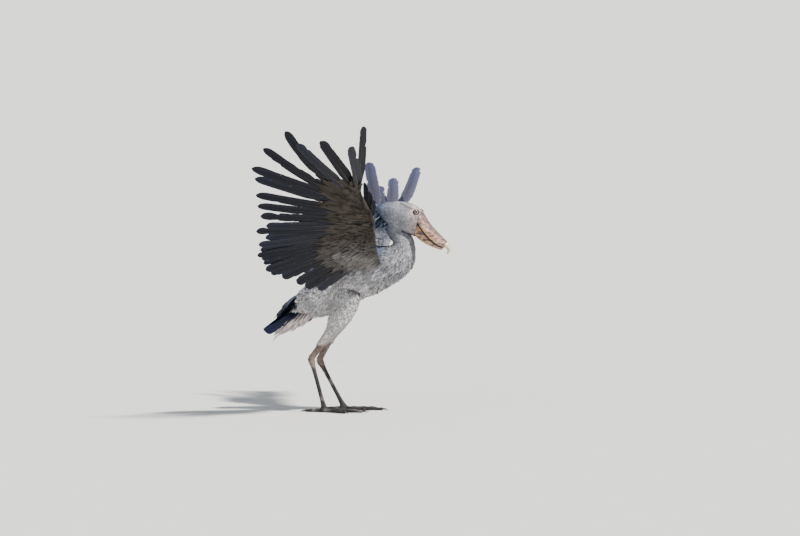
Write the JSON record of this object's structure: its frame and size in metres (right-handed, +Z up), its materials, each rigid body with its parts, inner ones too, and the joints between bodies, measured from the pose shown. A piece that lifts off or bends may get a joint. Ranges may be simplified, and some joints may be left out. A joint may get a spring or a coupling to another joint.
{
  "type": "shoebill",
  "caption": "Large grey wading bird with a broad hooked bill, standing on both feet, leaning forward with its wings raised and spread.",
  "frame": {"origin": "middle of the footprint of the whole model's box, on the floor that the toes stand on", "axes": "+X the way the bird faces, +Y its left, +Z up"},
  "size_m": [0.8642, 2.0638, 1.3007],
  "materials": {
    "plumage": "soft grey body feathers",
    "flight_feathers": "slate black vanes with a slight sheen",
    "bill": "dull horn with grey blotches",
    "hook": "pale polished horn",
    "leg_skin": "scaly dark grey skin",
    "claws": "dark horn",
    "eyes": "wet, clear"
  },
  "bodies": {
    "root": {"bill_hook": "hook", "claw_left_hind": "claws", "claw_left_inner": "claws", "claw_left_middle": "claws", "claw_left_outer": "claws", "claw_right_hind": "claws", "claw_right_inner": "claws", "claw_right_middle": "claws", "claw_right_outer": "claws", "eye_left": "eyes", "eye_right": "eyes", "head": "plumage", "lower_bill": "bill", "neck": "plumage", "shank_left": "leg_skin", "shank_right": "leg_skin", "tail": "plumage", "tarsus_left": "leg_skin", "tarsus_right": "leg_skin", "thigh_left": "plumage", "thigh_right": "plumage", "toe_left_hind": "leg_skin", "toe_left_inner": "leg_skin", "toe_left_middle": "leg_skin", "toe_left_outer": "leg_skin", "toe_right_hind": "leg_skin", "toe_right_inner": "leg_skin", "toe_right_middle": "leg_skin", "toe_right_outer": "leg_skin", "torso": "plumage", "upper_bill": "bill", "wing_left_inner": "flight_feathers", "wing_left_outer": "flight_feathers", "wing_right_inner": "flight_feathers", "wing_right_outer": "flight_feathers"}
  },
  "joints": []
}
